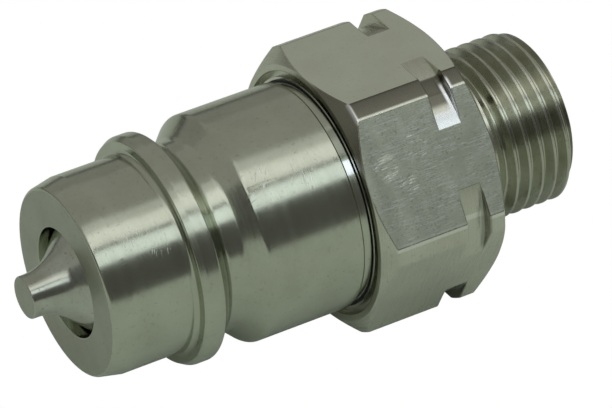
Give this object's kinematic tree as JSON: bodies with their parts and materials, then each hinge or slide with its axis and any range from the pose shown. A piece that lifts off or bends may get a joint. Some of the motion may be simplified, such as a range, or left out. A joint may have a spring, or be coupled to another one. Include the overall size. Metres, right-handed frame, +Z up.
{
  "type": "hydraulic quick coupling plug",
  "caption": "Male half of a poppet-type hydraulic quick coupling: turned probe with ball groove and spring-loaded valve, on a hexagon adapter with metric male thread and 24 degree cone.",
  "frame": {"origin": "on the axis, where the probe's sealing cylinder meets its stop shoulder", "axes": "+X along the axis from the probe's nose towards the threaded end, +Z up, with one flat of the hexagon facing down"},
  "size_m": [0.0581, 0.03, 0.027],
  "materials": {
    "plug_body": "turned and zinc plated, grey-green sheen",
    "hex_adapter": "drawn hexagon with turned ends, zinc plated",
    "face_seal_case": "pressed sheet, bright",
    "face_seal": "matt",
    "poppet_head": "turned, slightly stained",
    "poppet_seal": "moulded, matt",
    "seal_retainer": "turned",
    "poppet_stem": "turned",
    "valve_spring": "drawn spring wire, ends ground",
    "valve_guide": "machined",
    "guide_snap_ring": "phosphated spring steel",
    "adapter_o_ring": "moulded, matt",
    "adapter_backup_ring": "white PTFE"
  },
  "bodies": {
    "housing": {"plug_body": "plug_body", "hex_adapter": "hex_adapter", "face_seal_case": "face_seal_case", "face_seal": "face_seal", "valve_spring": "valve_spring", "valve_guide": "valve_guide", "guide_snap_ring": "guide_snap_ring", "adapter_o_ring": "adapter_o_ring", "adapter_backup_ring": "adapter_backup_ring"},
    "poppet": {"poppet_head": "poppet_head", "poppet_seal": "poppet_seal", "seal_retainer": "seal_retainer", "poppet_stem": "poppet_stem"}
  },
  "joints": [
    {"name": "poppet_slide", "type": "slide", "parent": "housing", "child": "poppet", "axis": [1, 0, 0], "range_m": [0, 0.0048], "stiffness_N_per_m": 2800, "springref_m": -0.008, "deforming": ["valve_spring"]}
  ]
}
